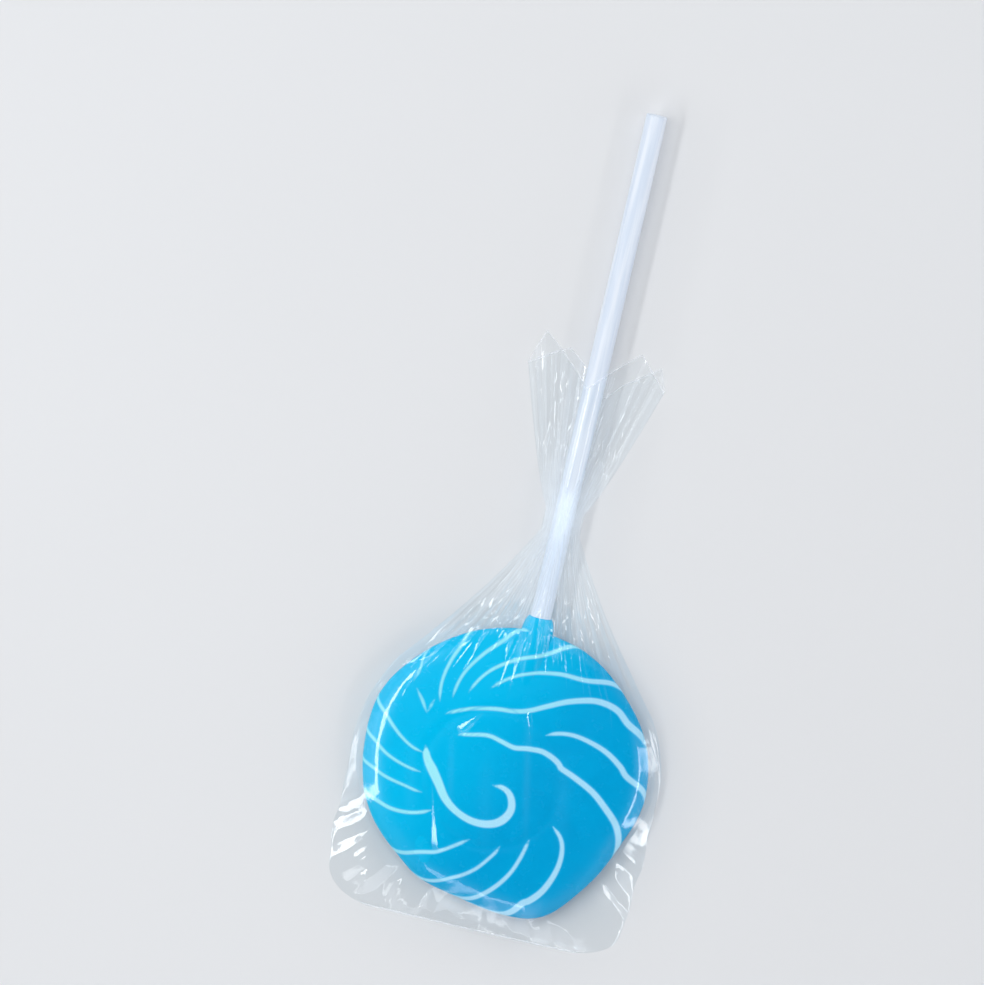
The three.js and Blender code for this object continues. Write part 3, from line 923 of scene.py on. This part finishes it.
# The higher of the drawn film and a round body, with crumples, spokes, pleats, runs and ridges
# added, kept clear of the candy and the stick and above the floor.
def pouchPoints(y):
    y, across, top = filmGrid(y)
    x = across * filmHalf(y)
    over, fraction, overhang = overDisc(x, y)
    shrink = smooth(y, pouch["shrinkStart"], film["neck"])
    full = mixed(candy["half"] + pouch["bodyExtra"], film["neckHeight"], shrink)
    body = full * smooth(y, *pouch["bodySpan"]) * (1 - across**2) ** film["roundPower"]
    edge = (1 - across**2) ** film["edgePower"] * smooth(y, film["end"], film["end"] + pouch["endTaper"])
    crumpled = crumpling(y, fraction, overhang) * crumple(x, y, across, top, fraction)
    small = crumpled + spokes(x, y, fraction, overhang) + gathers(x, y, across, top)
    z = np.maximum(body, over) + edge * small
    z = z + np.where(top, runs(across, y), 0)
    for values in pouch["ridges"]:
        z = z + np.where(top, ridge(x, y, *values), 0)
    domed = dome(fraction, candy["half"]) + pouch["leastGap"]
    z = np.maximum(z, np.where(fraction < 1, domed, pouch["leastHalf"]))
    core = np.interp(y, pouch["coreAlong"], pouch["coreRadius"]) * (y > pouch["coreAlong"][0])
    z = np.maximum(z, np.sqrt(np.maximum(core**2 - x**2, 0)))
    z = np.where(top, z, -np.minimum(z, middleHeight - pouch["floorGap"]))
    waving = facets(x, y, pouch["endCell"], film["seed"] + 31)
    z = z + pouch["endDepth"] * smooth(-y, *pouch["endSpan"]) * waving
    wave = 1
    for size, rate, phase in pouch["waves"]:
        wave = wave + size * np.sin(rate * y + phase * np.sign(x))
    outer = smooth(np.hypot(x, y), *pouch["wobbleSpan"]) * (y < pouch["wobbleUpTo"])
    return np.stack([x * (1 - pouch["wobble"] * wave * outer), y, z], axis=-1)


def buildPouch(material):
    ends = [film["end"], *pouch["joins"], film["neck"]]
    for number, (start, stop) in enumerate(zip(ends, ends[1:])):
        points = pouchPoints(np.linspace(start, stop, film["rows"]))
        # a painted highlight along the cut end
        paintedEdgeHighlight = pouch["cutEdgePaintedHighlight"] * (1 - smooth(points[..., 1] - film["end"], 0.0, pouch["edgeHighlightWidth"]))
        gridPiece("film_pouch_" + "abc"[number], points, material, "film", "film_wrapper",
                  values=filmValues(points, paintedEdgeHighlight), shutStart=number == 0, flat=number > 1)


skirt = {
    # its ragged end: places across it and how far along y each is, on top and underneath
    "topPlaces": [-1, -0.72, -0.1, 0.5, 1],
    "topEnds": [68, 74, 66, 73.5, 68],
    "underPlaces": [-1, -0.4, 0.2, 0.8, 1],
    "underEnds": [68, 72, 65, 72, 68],
    "alongScale": 0.4,
    "largeCell": 4.0,
    "largeDepth": 0.45,
    "smallCell": 1.9,
    "smallDepth": 0.12,
    # both sides wave together in a few large folds, away from the stick
    "waves": 9,
    "waveDepth": 1.9,
    "waveSpan": (0, 0.8),
    "waveAside": (1.5, 4.5),
    # and each has folds of its own
    "folds": 17,
    "foldsUnder": 15,
    "foldDepth": 0.9,
    "endHeight": 0.3,
    "flattenSpan": (0, 0.4),
    "pleatsLeft": 0.3,
    "sleeve": 2.0,
    "floorGap": 0.06,
    # a painted highlight along the ragged cut end, and where it comes in
    "cutEdgePaintedHighlight": 0.5,
    "edgeHighlightSpan": (0.985, 1.0),
    "seed": 71,
}


# A round neck that flattens into a fan: waves in both sides together, and folds, pleats and facets
# in each. A sleeve keeps it clear of the stick.
def buildSkirt(material):
    share, across, top = filmGrid(np.linspace(0, 1, film["rows"]))
    seed = skirt["seed"]
    overEnd = np.interp(across, skirt["topPlaces"], skirt["topEnds"])
    underEnd = np.interp(across, skirt["underPlaces"], skirt["underEnds"])
    y = mixed(film["neck"], np.where(top, overEnd, underEnd), share)
    x = across * filmHalf(y)
    along, large, small = skirt["alongScale"] * y, skirt["largeCell"], skirt["smallCell"]
    creases = np.where(top, facets(x, along, large, seed), facets(x, along, large, seed + 2))
    creases = creases * skirt["largeDepth"]
    creases = creases + skirt["smallDepth"] * facets(x + creases, along, small, seed + 3)
    wave = skirt["waveDepth"] * smooth(share, *skirt["waveSpan"]) * smooth(np.abs(x), *skirt["waveAside"])
    wave = wave * folds(across, skirt["waves"], seed + 4)
    over, under = folds(across, skirt["folds"], seed + 5), folds(across, skirt["foldsUnder"], seed + 6)
    folded = skirt["foldDepth"] * share * np.where(top, over, under)
    neck = film["neckHeight"] * (1 - across**2) ** film["roundPower"]
    body = mixed(neck, skirt["endHeight"], smooth(share, *skirt["flattenSpan"]))
    edge = (1 - across**2) ** film["edgePower"]
    fine = pleatDepth(y) * mixed(1.0, skirt["pleatsLeft"], share) * pleats(across, top)
    z = np.where(top, 1, -1) * (body + edge * fine) + wave + edge * (folded + share * creases)
    sleeve = np.sqrt(np.maximum(skirt["sleeve"] ** 2 - x**2, 0))
    z = np.where(top, np.maximum(z, sleeve), np.minimum(z, -sleeve))
    points = np.stack([x, y, np.maximum(z, skirt["floorGap"] - middleHeight)], axis=-1)
    values = filmValues(points, skirt["cutEdgePaintedHighlight"] * smooth(share, *skirt["edgeHighlightSpan"]))
    gridPiece("film_skirt", points, material, "film", "film_wrapper", values=values, flat=True)


clearFilm = filmMaterial()
buildPouch(clearFilm)
buildSkirt(clearFilm)


def buildFloor():
    mesh = bpy.data.meshes.new("floor")
    half = floorLook["half"]
    corners = [(-half, -half, 0), (half, -half, 0), (half, half, 0), (-half, half, 0)]
    mesh.from_pydata(corners, [], [(0, 1, 2, 3)])
    mesh.materials.append(floorMaterial())
    floor = bpy.data.objects.new("floor", mesh)
    bpy.context.scene.collection.objects.link(floor)


buildFloor()

# Softboxes: place in metres, width, height and brightness, and whether reflections show them.
lights = {
    "keyLeft": ((-0.38, 0.02, 0.54), 0.7, 0.06, 1.05, True),
    "fillRight": ((0.50, -0.1, 0.48), 0.45, 0.04, 0.36, True),
    "lowLeft": ((-0.62, 0.0, 0.3), 0.6, 0.05, 0.3, True),
    "farStrip": ((0.05, 0.62, 0.46), 0.5, 0.05, 0.35, True),
    "nearStrip": ((-0.1, -0.5, 0.55), 0.4, 0.05, 0.16, True),
    "overhead": ((-0.15, 0.3, 1.2), 0.8, 0.8, 5.1, False),
}
# what they all face, in metres: the floor, a little towards the stick from the disc's middle
lightsAim = (0, 0.03, 0)

# The room: dark straight above, pale lower down, with brighter and dimmer walls.
room = {
    "dark": (0.0, 0.0, 0.0, 1.0),
    "dim": (0.32, 0.33, 0.35, 1.0),
    "bright": (1.2, 1.23, 1.3, 1.0),
    "darkAbove": 0.88,
    "paleBelow": 0.62,
    "patches": 1.6,
    "patchSpan": (0.4, 0.6),
}


def buildLights():
    for name, (place, width, height, power, reflected) in lights.items():
        lamp = bpy.data.lights.new(name, "AREA")
        lamp.shape = "RECTANGLE"
        lamp.size, lamp.size_y = width, height
        lamp.energy = power
        thing = bpy.data.objects.new(name, lamp)
        thing.location = place
        thing.rotation_euler = (Vector(place) - Vector(lightsAim)).to_track_quat("Z", "Y").to_euler()
        thing.visible_glossy = reflected
        bpy.context.scene.collection.objects.link(thing)


def buildRoom():
    paint = Paint(bpy.data.worlds.new("studio"), "Generated")
    height = paint.add("ShaderNodeSeparateXYZ", None, [paint.place], output="Z")
    patches = paint.noise(room["patches"], 1.0).ramp(*room["patchSpan"])
    walls = paint.blend(patches, room["dim"], room["bright"])
    colour = paint.blend(height.ramp(room["darkAbove"], room["paleBelow"]), room["dark"], walls)
    sky = paint.add("ShaderNodeBackground", None, {"Color": colour})
    bpy.context.scene.world = paint.finish(sky, "ShaderNodeOutputWorld")


buildLights()
buildRoom()

# The camera looks almost straight down, and is turned about its own axis so that the stick leans.
view = {
    "elevation": 82.0,
    "lean": 13.0,
    "distance": 1600.0,
    "mmPerPixel": 0.168,
    # where the disc's middle is in the view, in pixels, and the view's size
    "discPixel": (505.4, 768.8),
    "imageSize": (984, 985),
    "filmWidth": 36.0,
    "clipMetres": (0.05, 20.0),
    # how many times a ray may pass through clear film, and be reflected
    "throughFilm": 64,
    "reflections": 10,
}


def buildCamera():
    tilt, lean = math.radians(view["elevation"]), math.radians(view["lean"])
    back = Vector((0, math.cos(tilt), math.sin(tilt)))
    alongStick = Vector((0, math.sin(tilt), -math.cos(tilt)))
    sideways = Vector((1, 0, 0))
    up = alongStick * math.cos(lean) - sideways * math.sin(lean)
    right = sideways * math.cos(lean) + alongStick * math.sin(lean)
    width, height = view["imageSize"]
    offRight = (view["discPixel"][0] - width / 2) * view["mmPerPixel"]
    offDown = (view["discPixel"][1] - height / 2) * view["mmPerPixel"]
    target = Vector((0, 0, middleHeight)) - right * offRight + up * offDown
    place = (target + back * view["distance"]) * metresPerMm
    lens = bpy.data.cameras.new("camera")
    lens.sensor_width = view["filmWidth"]
    lens.lens = view["filmWidth"] * view["distance"] / (width * view["mmPerPixel"])
    lens.clip_start, lens.clip_end = view["clipMetres"]
    camera = bpy.data.objects.new("camera", lens)
    camera.matrix_world = Matrix.Translation(place) @ Matrix((right, up, back)).transposed().to_4x4()
    bpy.context.scene.collection.objects.link(camera)
    bpy.context.scene.camera = camera


buildCamera()
scene = bpy.context.scene
scene.view_settings.view_transform = "Standard"
scene.cycles.transparent_max_bounces = view["throughFilm"]
scene.cycles.glossy_bounces = view["reflections"]
print("camera and lights placed")
